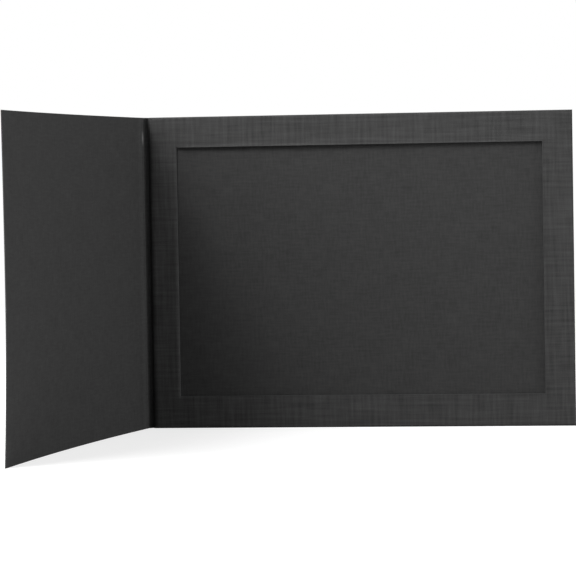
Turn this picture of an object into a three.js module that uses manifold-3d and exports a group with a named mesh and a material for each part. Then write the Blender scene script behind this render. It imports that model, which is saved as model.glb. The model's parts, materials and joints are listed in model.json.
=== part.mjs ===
// A slip-in photo folder for one landscape print, standing upright and open like a book.
//
// One sheet of card makes the front cover and the back panel, with an upright fold between them.
// A second sheet is the window frame. It is folded over on three sides, its flaps lie on the back
// panel, and its fourth edge, beside the fold, is free: the print slides in behind it.
//
// Millimetres, +Z up. The back panel stands in the XZ plane with its inner face towards -Y,
// the fold at its left end, and the front cover swings out from the fold towards -Y.

import Module from 'manifold-3d';
import * as THREE from 'three';
import { mergeVertices } from 'three/addons/utils/BufferGeometryUtils.js';

// Driving dimensions

const PRINT_WIDTH = 177.8;
const PRINT_HEIGHT = 127;
const PRINT_CLEARANCE = 0.8; // room between the print and the flaps around it
const SIDE_OVERLAP = 3.25; // how far the frame laps over the print at its left and right
const LEVEL_OVERLAP = 5.1; // how far the frame laps over the print at its top and bottom

const LEFT_BORDER = 14.8; // from the fold to the window
const RIGHT_BORDER = 13.9; // from the window to the panel's outer edge
const BOTTOM_BORDER = 15.1;
const TOP_BORDER = 14.3;

const COVER_CARD = 0.5; // thickness of the sheet that makes the cover and the back
const FRAME_CARD = 0.5; // thickness of the sheet that makes the window frame
const OPEN_ANGLE = 96.5; // degrees between the back and the line from the fold to the cover's free edge
const COVER_BOW = 3.5; // how far the cover curves outwards between the fold and its free edge

const SLOT_SETBACK = 2.5; // from the fold to the frame's free edge
const FRAME_INSET = 0.2; // from the panel's edges to the frame's folded edges
const FLAP_GAP = 0.15; // between the frame's front layer and its flaps
const MITRE_GAP = 0.6; // between two flaps where they meet at a corner

const CLOSED_GAP = 0.1; // between the closed cover and the frame
const BEND_GAP = 0.08; // from the fold's axis to the flat part of each panel

const HEM_LAP = 1; // how far a hem's straight legs run into the layers that they join
const HEM_SEGMENTS = 5; // a quarter turn of a hem
const BOW_SEGMENTS = 10; // half of the cover's curve

// Sizes that follow

const windowWidth = PRINT_WIDTH - 2 * SIDE_OVERLAP;
const windowHeight = PRINT_HEIGHT - 2 * LEVEL_OVERLAP;
const windowLeft = LEFT_BORDER;
const windowRight = windowLeft + windowWidth;
const windowBottom = BOTTOM_BORDER;
const windowTop = windowBottom + windowHeight;

// The cover and the back are alike: the window with its borders around it.
const panelWidth = windowRight + RIGHT_BORDER;
const panelHeight = windowTop + TOP_BORDER;

const frameDepth = 2 * FRAME_CARD + FLAP_GAP;
const hemRadius = frameDepth / 2;

// The fold's axis lies half way between the back's inner face and the closed cover's inner face.
const axisOffset = ( frameDepth + CLOSED_GAP ) / 2;

// The lines along which the frame is folded over
const foldRight = panelWidth - FRAME_INSET - hemRadius;
const foldBottom = FRAME_INSET + hemRadius;
const foldTop = panelHeight - FRAME_INSET - hemRadius;

// Each flap stops short of the print, which the window's place gives.
const flapRight = foldRight - ( windowRight + SIDE_OVERLAP + PRINT_CLEARANCE );
const flapBottom = windowBottom - LEVEL_OVERLAP - PRINT_CLEARANCE - foldBottom;
const flapTop = foldTop - ( windowTop + LEVEL_OVERLAP + PRINT_CLEARANCE );

// Materials

const coverCard = new THREE.MeshStandardMaterial( { color: 0x2a2a2b, roughness: 0.88, metalness: 0 } );
const frameCard = new THREE.MeshStandardMaterial( { color: 0x303031, roughness: 0.85, metalness: 0 } );

// Shapes

function rectangle( left, bottom, right, top ) {

	const outline = new THREE.Shape();
	outline.moveTo( left, bottom );
	outline.lineTo( right, bottom );
	outline.lineTo( right, top );
	outline.lineTo( left, top );
	outline.closePath();
	return outline;

}

// A flat piece of card. Its outline is drawn in X and Z, and it reaches forward from its back face.
function uprightCard( outline, thickness, backY ) {

	const geometry = new THREE.ExtrudeGeometry( outline, { depth: thickness, bevelEnabled: false } );
	const right = new THREE.Vector3( 1, 0, 0 );
	const up = new THREE.Vector3( 0, 0, 1 );
	const forward = new THREE.Vector3( 0, - 1, 0 );
	geometry.applyMatrix4( new THREE.Matrix4().makeBasis( right, up, forward ) );
	geometry.translate( 0, backY, 0 );
	return geometry;

}

// The half-round edge where the frame turns back on itself. It runs along +X, bulges towards +Y,
// and its depth is along Z, with the flap's outer face at Z = 0.
function hem( length ) {

	const profile = new THREE.Shape();
	profile.moveTo( - HEM_LAP, - frameDepth );
	profile.absarc( 0, - hemRadius, hemRadius, - Math.PI / 2, Math.PI / 2, false );
	profile.lineTo( - HEM_LAP, 0 );
	profile.lineTo( - HEM_LAP, - FRAME_CARD );
	profile.absarc( 0, - hemRadius, FLAP_GAP / 2, Math.PI / 2, - Math.PI / 2, true );
	profile.lineTo( - HEM_LAP, FRAME_CARD - frameDepth );
	profile.closePath();

	const options = { depth: length, bevelEnabled: false, curveSegments: HEM_SEGMENTS };
	const geometry = new THREE.ExtrudeGeometry( profile, options );
	const along = new THREE.Vector3( 1, 0, 0 );
	const outward = new THREE.Vector3( 0, 1, 0 );
	const depth = new THREE.Vector3( 0, 0, 1 );
	geometry.applyMatrix4( new THREE.Matrix4().makeBasis( outward, depth, along ) );
	return geometry;

}

// The strip that is folded behind the frame, in the hem's own axes. An end that meets another
// flap is cut at 45 degrees.
function flap( length, reach, startMeets, endMeets ) {

	const start = startMeets ? MITRE_GAP : 0;
	const end = endMeets ? length - MITRE_GAP : length;
	const outline = new THREE.Shape();
	outline.moveTo( start, 0 );
	outline.lineTo( startMeets ? start + reach : start, - reach );
	outline.lineTo( endMeets ? end - reach : end, - reach );
	outline.lineTo( end, 0 );
	outline.closePath();

	const geometry = new THREE.ExtrudeGeometry( outline, { depth: FRAME_CARD, bevelEnabled: false } );
	geometry.translate( 0, 0, - FRAME_CARD );
	return geometry;

}

// One folded side of the frame: its hem and its flap, laid from a start point in the direction
// along, with the hem facing outward.
function foldedSide( { startX, startZ, outward, length, reach, startMeets, endMeets } ) {

	const towardsBack = new THREE.Vector3( 0, 1, 0 );
	const along = new THREE.Vector3().crossVectors( outward, towardsBack );
	const place = new THREE.Matrix4().makeBasis( along, outward, towardsBack );
	place.setPosition( startX, 0, startZ );
	const pieces = [ hem( length ), flap( length, reach, startMeets, endMeets ) ];
	return pieces.map( ( piece ) => piece.applyMatrix4( place ) );

}

// Joining

const wasm = await Module();
wasm.setup();

function toSolid( geometry ) {

	geometry.deleteAttribute( 'normal' );
	geometry.deleteAttribute( 'uv' );
	const merged = mergeVertices( geometry );
	return new wasm.Manifold( new wasm.Mesh( {
		numProp: 3,
		vertProperties: new Float32Array( merged.attributes.position.array ),
		triVerts: new Uint32Array( merged.index.array ),
	} ) );

}

function joined( geometries ) {

	let solid = toSolid( geometries[ 0 ] );
	for ( const geometry of geometries.slice( 1 ) ) {

		solid = solid.add( toSolid( geometry ) );

	}

	const mesh = solid.getMesh();
	const result = new THREE.BufferGeometry();
	result.setAttribute( 'position', new THREE.BufferAttribute( mesh.vertProperties, 3 ) );
	result.setIndex( new THREE.BufferAttribute( mesh.triVerts, 1 ) );
	result.computeVertexNormals();
	return result;

}

// Pieces

function namedMesh( name, geometry, material ) {

	const mesh = new THREE.Mesh( geometry, material );
	mesh.name = name;
	return mesh;

}

function makeBackPanel() {

	const outline = rectangle( BEND_GAP, 0, panelWidth, panelHeight );
	return namedMesh( 'back_panel', uprightCard( outline, COVER_CARD, COVER_CARD ), coverCard );

}

function makeWindowFrame() {

	const outline = rectangle( SLOT_SETBACK, foldBottom, foldRight, foldTop );
	outline.holes.push( rectangle( windowLeft, windowBottom, windowRight, windowTop ) );
	const front = uprightCard( outline, FRAME_CARD, FRAME_CARD - frameDepth );

	const bottomSide = foldedSide( {
		startX: SLOT_SETBACK,
		startZ: foldBottom,
		outward: new THREE.Vector3( 0, 0, - 1 ),
		length: foldRight - SLOT_SETBACK,
		reach: flapBottom,
		startMeets: false,
		endMeets: true,
	} );

	const rightSide = foldedSide( {
		startX: foldRight,
		startZ: foldBottom,
		outward: new THREE.Vector3( 1, 0, 0 ),
		length: foldTop - foldBottom,
		reach: flapRight,
		startMeets: true,
		endMeets: true,
	} );

	const topSide = foldedSide( {
		startX: foldRight,
		startZ: foldTop,
		outward: new THREE.Vector3( 0, 0, 1 ),
		length: foldRight - SLOT_SETBACK,
		reach: flapTop,
		startMeets: true,
		endMeets: false,
	} );

	return namedMesh( 'window_frame', joined( [ front, ...bottomSide, ...rightSide, ...topSide ] ), frameCard );

}

// The cover is drawn closed, with the fold's axis at its origin, and turned open about that axis.
// Seen from above it is a shallow arc, which bows away from the frame.
function makeFrontCover() {

	const halfChord = ( panelWidth - BEND_GAP ) / 2;
	const innerRadius = ( halfChord ** 2 + COVER_BOW ** 2 ) / ( 2 * COVER_BOW );
	const chordMiddle = BEND_GAP + halfChord;
	const centre = innerRadius - COVER_BOW - axisOffset;
	const halfTurn = Math.asin( halfChord / innerRadius );
	const down = - Math.PI / 2;

	const section = new THREE.Shape();
	section.absarc( chordMiddle, centre, innerRadius, down - halfTurn, down + halfTurn, false );
	section.absarc( chordMiddle, centre, innerRadius + COVER_CARD, down + halfTurn, down - halfTurn, true );
	section.closePath();

	const options = { depth: panelHeight, bevelEnabled: false, curveSegments: BOW_SEGMENTS };
	const cover = namedMesh( 'front_cover', new THREE.ExtrudeGeometry( section, options ), coverCard );
	const fold = new THREE.Group();
	fold.position.set( 0, - axisOffset, 0 );
	fold.rotation.z = - THREE.MathUtils.degToRad( OPEN_ANGLE );
	fold.add( cover );
	return fold;

}

// The origin is under the middle of the open folder, on the surface that it stands on.

const folder = new THREE.Group();
folder.add( makeBackPanel(), makeWindowFrame(), makeFrontCover() );

const middle = new THREE.Box3().setFromObject( folder, true ).getCenter( new THREE.Vector3() );
folder.position.set( - middle.x, - middle.y, 0 );

export default folder;
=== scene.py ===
"""A slip-in photo folder of black textured card, standing open like a book."""

import json
import math

import bpy
import numpy as np
from mathutils import Matrix, Vector


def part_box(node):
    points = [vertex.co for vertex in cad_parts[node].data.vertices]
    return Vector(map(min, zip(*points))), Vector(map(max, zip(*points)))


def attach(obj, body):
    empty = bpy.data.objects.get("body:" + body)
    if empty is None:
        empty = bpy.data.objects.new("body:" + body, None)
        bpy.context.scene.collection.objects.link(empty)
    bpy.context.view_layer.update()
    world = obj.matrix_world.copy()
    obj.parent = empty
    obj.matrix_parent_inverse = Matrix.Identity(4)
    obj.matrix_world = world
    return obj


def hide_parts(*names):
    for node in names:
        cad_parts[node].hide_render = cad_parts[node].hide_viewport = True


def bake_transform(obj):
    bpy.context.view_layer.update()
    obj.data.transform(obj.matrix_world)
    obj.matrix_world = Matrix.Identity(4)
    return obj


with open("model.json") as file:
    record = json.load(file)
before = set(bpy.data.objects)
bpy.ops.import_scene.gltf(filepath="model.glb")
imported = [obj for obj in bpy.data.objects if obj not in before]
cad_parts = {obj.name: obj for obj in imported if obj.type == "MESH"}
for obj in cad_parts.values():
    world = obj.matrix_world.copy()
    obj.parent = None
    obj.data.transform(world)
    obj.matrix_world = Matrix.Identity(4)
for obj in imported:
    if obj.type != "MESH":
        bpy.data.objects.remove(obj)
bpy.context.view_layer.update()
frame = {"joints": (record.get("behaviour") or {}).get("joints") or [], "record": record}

MM = 0.001

# Sizes from the frame

back_low, back_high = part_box("back_panel")
window_low, window_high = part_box("window_frame")
hinge = frame["joints"][0]
opening = frame["record"]["physics"]["openings"][0]["box_m"]

CARD = back_high.y - back_low.y
PANEL_RIGHT = back_high.x
PANEL_HEIGHT = back_high.z
BACK_FACE = back_low.y
AXIS = Vector(hinge["pos_m"])
OPEN_ANGLE = math.radians(-hinge["range_deg"][0])
BEND_RADIUS = BACK_FACE - AXIS.y
PANEL_WIDTH = PANEL_RIGHT - AXIS.x

FRAME_FACE = window_low.y
FRAME_LEFT = window_low.x
FRAME_DEPTH = BACK_FACE - FRAME_FACE
OPENING_MARGIN = 0.2 * MM
WINDOW_LEFT = opening[0][0] - OPENING_MARGIN
WINDOW_RIGHT = opening[1][0] + OPENING_MARGIN
WINDOW_BOTTOM = opening[0][2] - OPENING_MARGIN
WINDOW_TOP = opening[1][2] + OPENING_MARGIN

# Sizes that only the looks need

RIM_BEVEL = 0.06 * MM
FRAME_CARD = 0.5 * MM
BOTTOM_FLAP = 8.4 * MM
RIGHT_FLAP = 9.1 * MM
TOP_FLAP = 7.6 * MM
MITRE_GAP = 0.6 * MM

BOW_TOP = 3.7 * MM
BOW_FOOT = 3.3 * MM
TOP_CURL = 0.4 * MM
FOOT_CURL = 1.6 * MM

GUTTER_PLACE = 1.1 * MM
GUTTER_WIDTH = 3.4 * MM
GUTTER_DEPTH = 1.5 * MM
CREASE_PLACE = 1.7 * MM
CREASE_WIDTH = 0.6 * MM
CREASE_HEIGHT = 0.12 * MM

LIP_WIDTH = 1.5 * MM
LEFT_LIP = -0.42 * MM
TOP_LIP = 0.24 * MM
TOP_LIFT = 0.5 * MM
RIGHT_LIFT = 0.8 * MM
SLOT_LIFT = 0.3 * MM
SLOT_ROLL = 0.45 * MM
SLOT_ROLL_WIDTH = 1.8 * MM

# Painted light on the inner side, in millimetres along the sheet from the fold and up from the foot: a
# lighter band along the fold against the shade that falls there, and a small painted glint near its top

FOLD_LIGHT_PLACE = 7.5
FOLD_LIGHT_WIDTH = 9.0
FOLD_LIGHT_SHARE = 0.2
GLINT_PLACE = 4.5
GLINT_WIDTH = 3.0
GLINT_LEVEL = 136.5
GLINT_LENGTH = 8.0
GLINT_SHARE = 3.0

# How finely the sheets are divided

SHARP_ANGLE = math.radians(35)
BACK_STEPS = 50
GUTTER_STEPS = 28
GUTTER_ZONE = 1.4 * GUTTER_WIDTH
BEND_STEPS = 16
COVER_GUTTER_STEPS = 30
COVER_STEPS = 70
HEIGHT_STEPS = 40
ROLL_STEPS = 7
LIP_STEPS = 7
BORDER_STEPS = 12
WINDOW_STEPS_ACROSS = 48
WINDOW_STEPS_UP = 36
HEM_STEPS = 12
FLAP_STEPS = 6

# Patterns on the card: length and pitch of the marks in millimetres, and the noise's detail

NOISE_ROUGHNESS = 0.6
THREADS = (7.0, 0.45, 2.0)
LEVEL_SLUBS = (26.0, 1.5, 3.0)
UPRIGHT_SLUBS = (22.0, 1.5, 3.0)
TOOTH = (0.4, 0.3, 3.0)
TOOTH_SHARE = 0.4
GRAIN_FIBRES = (3.0, 0.6, 2.0)
CLOUDS = (14.0, 9.0, 2.0)
CLOUD_SHARE = 0.4
LEVEL_FIBRES = (7.0, 1.0, 3.0)
UPRIGHT_FIBRES = (6.0, 1.0, 3.0)

# Card's finish

SPECULAR = 0.12
PATTERN_RANGE = (0.3, 0.7)
CARD_ROUGHNESS = 0.85
CUT_ROUGHNESS = 0.9
SMOOTH_RELIEF = 0.025 * MM
LINEN_RELIEF = 0.08 * MM
CUT_RELIEF = 0.02 * MM
SMOOTH_TINTS = (0.8, 1.2)
LINEN_TINTS = (0.7, 1.3)
CUT_TINTS = (0.8, 1.2)
SMOOTH_BLACK = (0.038, 0.038, 0.038)
LINEN_BLACK = (0.0455, 0.0455, 0.0455)
CUT_BLACK = (0.055, 0.055, 0.055)

# Studio: metres, watts and degrees, with places measured from the foot of the fold

FLOOR_REACH = 1.6
FLOOR_GREY = (0.42, 0.42, 0.42, 1)
FLOOR_ROUGHNESS = 0.9
FLOOR_GLOW = 0.7
WHITE = (1, 1, 1, 1)
SKY_LIGHT = 0.34
SKY_SEEN = 1.0
LAMPS = (
    ("key", (-0.513, -0.783, 1.060), 0.44, 12.0),
    ("left", (-1.148, -0.359, 0.826), 1.43, 40.0),
    ("right", (1.64, -0.27, 0.408), 0.8, 15.5),
)
CAMERA_PLACE = (0.25073, -1.41251, 0.11489)
CAMERA_YAW = math.radians(7.430)
CAMERA_PITCH = math.radians(1.990)
CAMERA_ROLL = math.radians(-0.953)
LENS = 190.44
SENSOR_WIDTH = 36


# Card as a solid sheet

def closed_card(name, points, normals, uvs, quads, thickness, finishes):
    """A sheet with a front face at points, a rear face one thickness behind, and bevelled cut edges.

    quads turn anticlockwise seen from the front. finishes are the front, rear and edge materials.
    """
    points, normals = np.asarray(points, float), np.asarray(normals, float)
    outward, border = border_directions(points, normals, quads)
    inset = outward * RIM_BEVEL
    front = points - inset
    rear = points - normals * thickness - inset
    count = len(points)
    order = sorted({v for edge in border for v in edge})
    place = {v: i for i, v in enumerate(order)}
    high = (points - normals * RIM_BEVEL)[order]
    low = (points - normals * (thickness - RIM_BEVEL))[order]
    vertices = np.vstack([front, rear, high, low])

    faces = [tuple(q) for q in quads]
    kinds = [0] * len(quads)
    faces += [tuple(count + v for v in reversed(q)) for q in quads]
    kinds += [1] * len(quads)
    for a, b in border:
        ha, hb = 2 * count + place[a], 2 * count + place[b]
        la, lb = ha + len(order), hb + len(order)
        faces += [(b, a, ha, hb), (hb, ha, la, lb), (lb, la, count + a, count + b)]
        kinds += [2] * 3

    mesh = bpy.data.meshes.new(name)
    mesh.from_pydata(vertices.tolist(), [], faces)
    for finish in finishes:
        mesh.materials.append(finish)
    mesh.polygons.foreach_set("material_index", kinds)
    vertex_uvs = np.vstack([uvs, uvs, np.asarray(uvs)[order], np.asarray(uvs)[order]])
    layer = mesh.uv_layers.new(name="card")
    corners = np.zeros(len(mesh.loops), int)
    mesh.loops.foreach_get("vertex_index", corners)
    layer.data.foreach_set("uv", vertex_uvs[corners].ravel())
    mesh.validate()
    mesh.shade_smooth()
    mesh.set_sharp_from_angle(angle=SHARP_ANGLE)
    obj = bpy.data.objects.new(name, mesh)
    bpy.context.scene.collection.objects.link(obj)
    return obj


def border_directions(points, normals, quads):
    """The edges with a quad on one side only, and each border vertex's way out of the sheet."""
    sides = {}
    for quad in quads:
        for a, b in zip(quad, quad[1:] + quad[:1]):
            sides[(a, b)] = True
    border = [edge for edge in sides if (edge[1], edge[0]) not in sides]
    ways = {}
    for a, b in border:
        run = points[b] - points[a]
        out = np.cross(run, normals[a] + normals[b])
        out /= np.linalg.norm(out)
        ways.setdefault(a, []).append(out)
        ways.setdefault(b, []).append(out)
    outward = np.zeros_like(points)
    for vertex, (first, second) in ways.items():
        outward[vertex] = (first + second) / (1 + first @ second)
    return outward, border


def steps(*stops):
    """Places from stop to stop; each later stop is (place, number of steps to it)."""
    places = [stops[0]]
    for stop, number in stops[1:]:
        places += list(np.linspace(places[-1], stop, number + 1)[1:])
    return places


# The cover sheet

def cover_warp(along, height):
    """How far the cover stands outside its chord, at a distance from the fold and a height."""
    across, up = along / PANEL_WIDTH, height / PANEL_HEIGHT
    bow = 4 * across * (1 - across) * (BOW_FOOT + (BOW_TOP - BOW_FOOT) * up)
    curl = TOP_CURL * max(2 * up - 1, 0) ** 2 + FOOT_CURL * max(1 - 2 * up, 0) ** 2
    crease = CREASE_HEIGHT * math.exp(-((along - CREASE_PLACE) / CREASE_WIDTH) ** 2)
    return bow + across ** 2 * curl - crease


def gutter(distance):
    """How far the sheet is pressed outwards in the gutter, at a distance from the fold.

    Distances are positive on the back and negative on the cover's side.
    """
    across = 2 * (distance - GUTTER_PLACE) / GUTTER_WIDTH
    return GUTTER_DEPTH * max(1 - across ** 2, 0) ** 2


def sheet_section(height):
    """The sheet's outer side in plan at a height.

    It runs from the back's outer edge round the fold to the cover's free edge.
    """
    outer = BEND_RADIUS + CARD
    chord_turn = math.pi - OPEN_ANGLE
    mean_bow = (BOW_FOOT + BOW_TOP) / 2
    bend = chord_turn - math.atan(4 * mean_bow / PANEL_WIDTH)
    places = []
    for distance in steps(PANEL_WIDTH, (GUTTER_ZONE, BACK_STEPS), (0.0, GUTTER_STEPS)):
        places.append((AXIS.x + distance, AXIS.y + outer + gutter(distance)))
    for turn in steps(0.0, (bend, BEND_STEPS))[1:]:
        reach = outer + gutter(-outer * turn)
        places.append((AXIS.x - reach * math.sin(turn), AXIS.y + reach * math.cos(turn)))
    start = places[-1]
    way = (-math.cos(chord_turn), -math.sin(chord_turn))
    outward = (way[1], -way[0])
    rest = cover_warp(0.0, height)
    for out in steps(0.0, (2 * GUTTER_WIDTH, COVER_GUTTER_STEPS), (PANEL_WIDTH, COVER_STEPS))[1:]:
        warp = cover_warp(out, height) - rest
        x = start[0] + way[0] * out + outward[0] * warp
        y = start[1] + way[1] * out + outward[1] * warp
        places.append((x, y))
    return np.array(places)


def make_cover_sheet(finishes):
    """One sheet from the back's outer edge round the fold to the cover's free edge."""
    heights = steps(0.0, (PANEL_HEIGHT, HEIGHT_STEPS))
    sections = [sheet_section(z) for z in heights]
    middle = sections[len(sections) // 2]
    lengths = np.concatenate([[0.0], np.cumsum(np.linalg.norm(np.diff(middle, axis=0), axis=1))])
    lengths -= PANEL_WIDTH
    columns, rows = len(middle), len(heights)
    points, normals, uvs = [], [], []
    ways = [np.gradient(section, axis=0) for section in sections]
    ways = [way / np.linalg.norm(way, axis=1)[:, None] for way in ways]
    for i in range(columns):
        for z, section, way in zip(heights, sections, ways):
            points.append((*section[i], z))
            normals.append((way[i][1], -way[i][0], 0.0))
            uvs.append((lengths[i] / MM, z / MM))
    quads = []
    for i in range(columns - 1):
        for j in range(rows - 1):
            a = i * rows + j
            quads.append((a, a + rows, a + rows + 1, a + 1))
    return closed_card("cover_sheet", points, normals, uvs, quads, CARD, finishes)


# The window frame

def edge_fade(perpendicular, overrun, width):
    """1 at an edge of the window, falling to 0 at a width outside it."""
    distance = math.hypot(perpendicular, max(overrun, 0))
    return max(1 - distance / width, 0) ** 2 if perpendicular >= 0 else 0.0


def lifted(place, window_edge, flap_edge, along, start, end):
    """A share of a lift: 1 at the middle of the window's edge, 0 at the flap and at both ends."""
    out = max(1 - (place - window_edge) / (flap_edge - window_edge), 0)
    between = min(max((along - start) / (end - start), 0), 1)
    return out ** 1.5 * max(math.sin(math.pi * between), 0) ** 0.5


def frame_relief(x, z):
    """How far the frame's front stands forward of its flat plane.

    The window's left edge is pressed in and its top edge out. Between its flaps and the window the
    layer lifts a little at the right and the top, and beside the fold it lifts between its ends and
    rolls in at its free edge.
    """
    level_overrun = max(WINDOW_BOTTOM - z, z - WINDOW_TOP)
    side_overrun = max(WINDOW_LEFT - x, x - WINDOW_RIGHT)
    relief = LEFT_LIP * edge_fade(WINDOW_LEFT - x, level_overrun, LIP_WIDTH)
    relief += TOP_LIP * edge_fade(z - WINDOW_TOP, side_overrun, LIP_WIDTH)
    up = min(max(z / PANEL_HEIGHT, 0), 1)
    belly = (4 * up * (1 - up)) ** 0.5
    if x >= WINDOW_RIGHT:
        flap_edge = window_high.x - FRAME_DEPTH / 2 - RIGHT_FLAP
        relief += RIGHT_LIFT * lifted(x, WINDOW_RIGHT, flap_edge, z, WINDOW_BOTTOM, WINDOW_TOP)
    if z >= WINDOW_TOP:
        flap_edge = window_high.z - FRAME_DEPTH / 2 - TOP_FLAP
        relief += TOP_LIFT * lifted(z, WINDOW_TOP, flap_edge, x, WINDOW_LEFT, WINDOW_RIGHT)
    across = max((WINDOW_LEFT - x) / (WINDOW_LEFT - FRAME_LEFT), 0)
    roll = max(1 - (x - FRAME_LEFT) / SLOT_ROLL_WIDTH, 0)
    return relief + belly * SLOT_LIFT * across ** 2 - SLOT_ROLL * roll ** 2


def lip_stations(edge, away):
    """Places across the lip, from the window's edge outwards."""
    return [edge + away * place for place in steps(0.0, (LIP_WIDTH, LIP_STEPS))]


def stations_across(fold_right):
    """Places along X on the front layer, from its free edge to the hem at the right."""
    roll_end = FRAME_LEFT + SLOT_ROLL_WIDTH
    xs = steps(FRAME_LEFT, (roll_end, ROLL_STEPS), (WINDOW_LEFT - LIP_WIDTH, BORDER_STEPS))
    xs += lip_stations(WINDOW_LEFT, -1)[-2::-1]
    xs += steps(WINDOW_LEFT, (WINDOW_RIGHT, WINDOW_STEPS_ACROSS))[1:]
    xs += lip_stations(WINDOW_RIGHT, 1)[1:]
    xs += steps(xs[-1], (fold_right, BORDER_STEPS))[1:]
    return xs


def stations_up(fold_bottom, fold_top):
    """Places along Z on the front layer, from the hem at the bottom to the hem at the top."""
    zs = steps(fold_bottom, (WINDOW_BOTTOM - LIP_WIDTH, BORDER_STEPS))
    zs += lip_stations(WINDOW_BOTTOM, -1)[-2::-1]
    zs += steps(WINDOW_BOTTOM, (WINDOW_TOP, WINDOW_STEPS_UP))[1:]
    zs += lip_stations(WINDOW_TOP, 1)[1:]
    zs += steps(zs[-1], (fold_top, BORDER_STEPS))[1:]
    return zs


class Layer:
    """Points, normals, UVs and quads of one sheet, with each point found again by its key."""

    def __init__(self):
        self.points, self.normals, self.uvs, self.quads = [], [], [], []
        self.index = {}

    def vertex(self, key, place, normal, uv):
        if key not in self.index:
            self.index[key] = len(self.points)
            self.points.append(place)
            self.normals.append(normal)
            self.uvs.append(uv)
        return self.index[key]


def in_window(x, z):
    return WINDOW_LEFT < x < WINDOW_RIGHT and WINDOW_BOTTOM < z < WINDOW_TOP


def add_front(layer, xs, zs):
    """The front layer's grid, without the quads inside the window."""
    for i, x in enumerate(xs):
        for j, z in enumerate(zs):
            layer.vertex((i, j), (x, FRAME_FACE - frame_relief(x, z), z), (0, -1, 0), (x / MM, z / MM))
    index = layer.index
    for i in range(len(xs) - 1):
        for j in range(len(zs) - 1):
            if not in_window((xs[i] + xs[i + 1]) / 2, (zs[j] + zs[j + 1]) / 2):
                layer.quads.append((index[i, j], index[i + 1, j], index[i + 1, j + 1], index[i, j + 1]))


def side_rows(reach):
    """Rows round the hem and down the flap: way out, depth in Y, turn so far, depth on the flap."""
    radius = FRAME_DEPTH / 2
    rows = []
    for turn in steps(0.0, (math.pi, HEM_STEPS))[1:]:
        rows.append((radius * math.sin(turn), BACK_FACE - radius - radius * math.cos(turn), turn, 0.0))
    for depth in steps(0.0, (reach, FLAP_STEPS))[1:]:
        rows.append((-depth, BACK_FACE, math.pi, depth))
    return rows


def add_side(layer, name, ends, along, outward, reach, meets):
    """One folded side: ends are the front layer's border vertices in order.

    meets says for the start and the end whether the flap meets another one there, in a mitre.
    """
    radius = FRAME_DEPTH / 2
    start = np.array(layer.points[ends[0]])
    span = (np.array(layer.points[ends[-1]]) - start) @ along
    previous = list(ends)
    for out, y, turn, depth in side_rows(reach):
        first = MITRE_GAP + depth if meets[0] and depth else 0.0
        last = MITRE_GAP + depth if meets[1] and depth else 0.0
        normal = outward * math.sin(turn) + np.array((0, -math.cos(turn), 0))
        shift = outward[[0, 2]] * (turn * radius + 2 * depth)
        current = []
        for n, end in enumerate(ends):
            at = (np.array(layer.points[end]) - start) @ along
            at = first + at / span * (span - first - last)
            place = start + along * at + outward * out
            place[1] = y
            uv = (np.array((place[0], place[2])) + shift) / MM
            current.append(layer.vertex((name, turn, depth, n), tuple(place), tuple(normal), tuple(uv)))
        for n in range(len(ends) - 1):
            layer.quads.append((previous[n], current[n], current[n + 1], previous[n + 1]))
        previous = current


def make_window_frame(finishes):
    """The front layer with its window, and three sides that fold back round a hem into flaps."""
    radius = FRAME_DEPTH / 2
    xs = stations_across(window_high.x - radius)
    zs = stations_up(window_low.z + radius, window_high.z - radius)
    layer = Layer()
    add_front(layer, xs, zs)

    last_x, last_z = len(xs) - 1, len(zs) - 1
    bottom = [layer.index[i, 0] for i in range(last_x + 1)]
    right = [layer.index[last_x, j] for j in range(last_z + 1)]
    top = [layer.index[i, last_z] for i in range(last_x, -1, -1)]
    x_way, z_way = np.array((1.0, 0, 0)), np.array((0, 0, 1.0))
    add_side(layer, "bottom", bottom, x_way, -z_way, BOTTOM_FLAP, (False, True))
    add_side(layer, "right", right, z_way, x_way, RIGHT_FLAP, (True, True))
    add_side(layer, "top", top, -x_way, z_way, TOP_FLAP, (True, False))
    shape = (layer.points, layer.normals, layer.uvs, layer.quads)
    return closed_card("frame_sheet", *shape, FRAME_CARD, finishes)


# Materials

def streaks(nodes, links, length, pitch, detail):
    """Noise over the card's own millimetres, stretched to marks of a length and a pitch."""
    card = nodes.new("ShaderNodeUVMap")
    card.uv_map = "card"
    scale = nodes.new("ShaderNodeVectorMath")
    scale.operation = "MULTIPLY"
    scale.inputs[1].default_value = (1 / length, 1 / pitch, 0)
    noise = nodes.new("ShaderNodeTexNoise")
    noise.noise_dimensions = "2D"
    noise.inputs["Scale"].default_value = 1.0
    noise.inputs["Detail"].default_value = detail
    noise.inputs["Roughness"].default_value = NOISE_ROUGHNESS
    links.new(card.outputs["UV"], scale.inputs[0])
    links.new(scale.outputs["Vector"], noise.inputs["Vector"])
    return noise.outputs["Fac"]


def crossed(nodes, links, operation, level, upright):
    """Level and upright marks together; each is given as length, pitch and detail."""
    level_marks = streaks(nodes, links, level[0], level[1], level[2])
    upright_marks = streaks(nodes, links, upright[1], upright[0], upright[2])
    return combined(nodes, links, operation, level_marks, upright_marks)


def combined(nodes, links, operation, first, second):
    """A math node's value; each input is a number or another node's output."""
    node = nodes.new("ShaderNodeMath")
    node.operation = operation
    for socket, value in zip(node.inputs, (first, second)):
        if isinstance(value, float):
            socket.default_value = value
        else:
            links.new(value, socket)
    return node.outputs["Value"]


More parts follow.
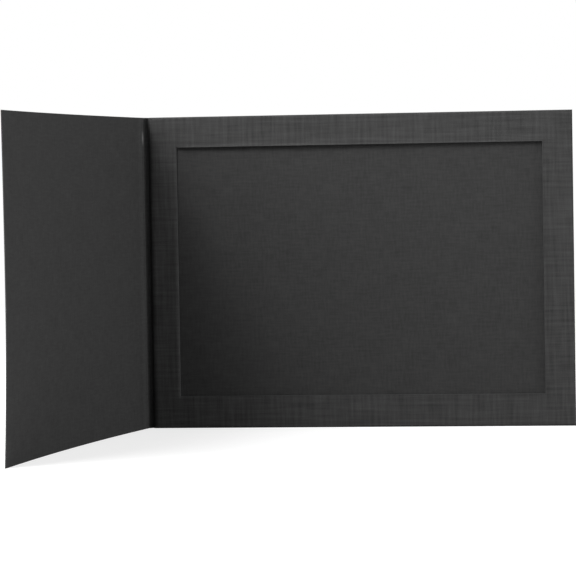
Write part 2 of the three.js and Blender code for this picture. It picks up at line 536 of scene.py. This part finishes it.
def painted_fold_light(nodes, links):
    """Painted light on the card's inner side: a faint lighter band along the fold against the shade
    that falls there, with a small painted glint on it near the top.
    """
    card = nodes.new("ShaderNodeUVMap")
    card.uv_map = "card"
    place = nodes.new("ShaderNodeSeparateXYZ")
    links.new(card.outputs["UV"], place.inputs["Vector"])
    # Painted lighter band near the fold, against the shade that falls there.
    band = soft_band(nodes, links, place.outputs["X"], FOLD_LIGHT_PLACE, FOLD_LIGHT_WIDTH)
    # Painted glint: a small spot near the top of the fold, several times lighter than the card.
    glint_across = soft_band(nodes, links, place.outputs["X"], GLINT_PLACE, GLINT_WIDTH)
    glint_height = soft_band(nodes, links, place.outputs["Y"], GLINT_LEVEL, GLINT_LENGTH)
    glint_spot = combined(nodes, links, "MULTIPLY", glint_across, glint_height)
    light_band = combined(nodes, links, "MULTIPLY", band, FOLD_LIGHT_SHARE)
    light_glint = combined(nodes, links, "MULTIPLY", glint_spot, GLINT_SHARE)
    both = combined(nodes, links, "ADD", light_band, light_glint)
    return combined(nodes, links, "ADD", both, 1.0)


def soft_band(nodes, links, place, middle, width):
    """1 at the middle of a band, falling smoothly to 0 at its edges."""
    offset = combined(nodes, links, "SUBTRACT", place, middle)
    share = combined(nodes, links, "DIVIDE", offset, width / 2)
    square = combined(nodes, links, "MULTIPLY", share, share)
    inside = combined(nodes, links, "SUBTRACT", 1.0, square)
    clear = combined(nodes, links, "MAXIMUM", inside, 0.0)
    return combined(nodes, links, "MULTIPLY", clear, clear)


def card_material(name, colour, roughness, relief, height_of, tint_of, tint_range, painted_light_of=None):
    """Card whose relief, in metres, and shade follow patterns built by height_of and tint_of."""
    material = bpy.data.materials.new(name)
    material.use_nodes = True
    nodes, links = material.node_tree.nodes, material.node_tree.links
    shader = nodes["Principled BSDF"]
    shader.inputs["Roughness"].default_value = roughness
    shader.inputs["Specular IOR Level"].default_value = SPECULAR
    bump = nodes.new("ShaderNodeBump")
    bump.inputs["Strength"].default_value = 1.0
    bump.inputs["Distance"].default_value = relief
    links.new(height_of(nodes, links), bump.inputs["Height"])
    links.new(bump.outputs["Normal"], shader.inputs["Normal"])
    shade = nodes.new("ShaderNodeMapRange")
    shade.inputs["From Min"].default_value = PATTERN_RANGE[0]
    shade.inputs["From Max"].default_value = PATTERN_RANGE[1]
    shade.inputs["To Min"].default_value = tint_range[0]
    shade.inputs["To Max"].default_value = tint_range[1]
    links.new(tint_of(nodes, links), shade.inputs["Value"])
    tint = nodes.new("ShaderNodeVectorMath")
    tint.operation = "SCALE"
    tint.inputs[0].default_value = colour
    shade_value = shade.outputs["Result"]
    # Painted light along the fold multiplies the base colour here, where it is given.
    if painted_light_of:
        shade_value = combined(nodes, links, "MULTIPLY", shade_value, painted_light_of(nodes, links))
    links.new(shade_value, tint.inputs["Scale"])
    links.new(tint.outputs["Vector"], shader.inputs["Base Color"])
    return material


def linen_threads(nodes, links):
    """Two sets of crossing threads, each with thick and thin places."""
    return crossed(nodes, links, "MAXIMUM", THREADS, THREADS)


def linen_slubs(nodes, links):
    """Broad streaks along both sets of threads."""
    both = crossed(nodes, links, "ADD", LEVEL_SLUBS, UPRIGHT_SLUBS)
    return combined(nodes, links, "MULTIPLY", both, 0.5)


def paper_grain(nodes, links):
    """A fine tooth, with short fibres lying both ways."""
    tooth = combined(nodes, links, "MULTIPLY", streaks(nodes, links, *TOOTH), TOOTH_SHARE)
    fibres = crossed(nodes, links, "MAXIMUM", GRAIN_FIBRES, GRAIN_FIBRES)
    return combined(nodes, links, "ADD", tooth, fibres)


def paper_mottle(nodes, links):
    """Faint cloudy patches under a finer fibre pattern, as a weighted mean of the three."""
    clouds = combined(nodes, links, "MULTIPLY", streaks(nodes, links, *CLOUDS), CLOUD_SHARE)
    fibres = crossed(nodes, links, "ADD", LEVEL_FIBRES, UPRIGHT_FIBRES)
    both = combined(nodes, links, "ADD", clouds, fibres)
    return combined(nodes, links, "DIVIDE", both, 2 + CLOUD_SHARE)


# The smooth inner side carries painted light: a lighter band along the fold and a glint near its top.
smooth = card_material(
    "smooth_card", SMOOTH_BLACK, CARD_ROUGHNESS, SMOOTH_RELIEF, paper_grain, paper_mottle,
    SMOOTH_TINTS, painted_fold_light)
embossed = card_material(
    "linen_card", LINEN_BLACK, CARD_ROUGHNESS, LINEN_RELIEF, linen_threads, linen_slubs, LINEN_TINTS)
cut = card_material(
    "cut_edge", CUT_BLACK, CUT_ROUGHNESS, CUT_RELIEF, paper_grain, paper_grain, CUT_TINTS)

cover_sheet = make_cover_sheet((embossed, smooth, cut))
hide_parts("front_cover", "back_panel")
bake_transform(cover_sheet)

frame_sheet = make_window_frame((embossed, smooth, cut))
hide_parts("window_frame")
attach(frame_sheet, "back")


# Floor, light and camera

def from_fold(offset):
    return Vector((AXIS.x, AXIS.y, 0)) + Vector(offset)


def area_light(name, offset, target, size, power):
    data = bpy.data.lights.new(name, "AREA")
    data.shape = "SQUARE"
    data.size = size
    data.energy = power
    light = bpy.data.objects.new(name, data)
    bpy.context.scene.collection.objects.link(light)
    light.location = from_fold(offset)
    light.rotation_euler = (target - light.location).to_track_quat("-Z", "Y").to_euler()


def make_floor():
    """A pale floor. It glows a little to the camera alone, which keeps it as white as the backdrop."""
    mesh = bpy.data.meshes.new("floor")
    corners = [(x * FLOOR_REACH, y * FLOOR_REACH, 0) for x, y in ((-1, -1), (1, -1), (1, 1), (-1, 1))]
    mesh.from_pydata(corners, [], [(0, 1, 2, 3)])
    floor = bpy.data.objects.new("floor", mesh)
    bpy.context.scene.collection.objects.link(floor)
    material = bpy.data.materials.new("floor")
    material.use_nodes = True
    shader = material.node_tree.nodes["Principled BSDF"]
    shader.inputs["Base Color"].default_value = FLOOR_GREY
    shader.inputs["Roughness"].default_value = FLOOR_ROUGHNESS
    shader.inputs["Specular IOR Level"].default_value = 0.0
    shader.inputs["Emission Color"].default_value = WHITE
    nodes, links = material.node_tree.nodes, material.node_tree.links
    path = nodes.new("ShaderNodeLightPath")
    glow = combined(nodes, links, "MULTIPLY", path.outputs["Is Camera Ray"], FLOOR_GLOW)
    links.new(glow, shader.inputs["Emission Strength"])
    mesh.materials.append(material)


def make_world():
    """An even sky: its light on the part is weaker than the white backdrop that the camera sees."""
    world = bpy.data.worlds.new("studio")
    bpy.context.scene.world = world
    world.use_nodes = True
    nodes, links = world.node_tree.nodes, world.node_tree.links
    light = nodes["Background"]
    light.inputs["Color"].default_value = WHITE
    light.inputs["Strength"].default_value = SKY_LIGHT
    seen = nodes.new("ShaderNodeBackground")
    seen.inputs["Color"].default_value = WHITE
    seen.inputs["Strength"].default_value = SKY_SEEN
    path = nodes.new("ShaderNodeLightPath")
    mix = nodes.new("ShaderNodeMixShader")
    links.new(path.outputs["Is Camera Ray"], mix.inputs["Fac"])
    links.new(light.outputs["Background"], mix.inputs[1])
    links.new(seen.outputs["Background"], mix.inputs[2])
    links.new(mix.outputs["Shader"], nodes["World Output"].inputs["Surface"])


def make_camera():
    """The photo's camera, from a fit to the folder's outline in the photo."""
    level_away = Vector((-math.sin(CAMERA_YAW), math.cos(CAMERA_YAW), 0))
    away = level_away * math.cos(CAMERA_PITCH) - Vector((0, 0, math.sin(CAMERA_PITCH)))
    level = Vector((math.cos(CAMERA_YAW), math.sin(CAMERA_YAW), 0))
    upright = level.cross(away)
    right = level * math.cos(CAMERA_ROLL) + upright * math.sin(CAMERA_ROLL)
    up = upright * math.cos(CAMERA_ROLL) - level * math.sin(CAMERA_ROLL)
    data = bpy.data.cameras.new("camera")
    data.lens = LENS
    data.sensor_width = SENSOR_WIDTH
    camera = bpy.data.objects.new("camera", data)
    bpy.context.scene.collection.objects.link(camera)
    turn = Matrix((right, up, -away)).transposed().to_4x4()
    camera.matrix_world = Matrix.Translation(from_fold(CAMERA_PLACE)) @ turn
    bpy.context.scene.camera = camera


make_floor()
make_world()
make_camera()
target = Vector((AXIS.x + PANEL_WIDTH / 2, AXIS.y, PANEL_HEIGHT / 2))
for lamp, offset, size, power in LAMPS:
    area_light(lamp, offset, target, size, power)

bpy.context.scene.view_settings.view_transform = "Standard"
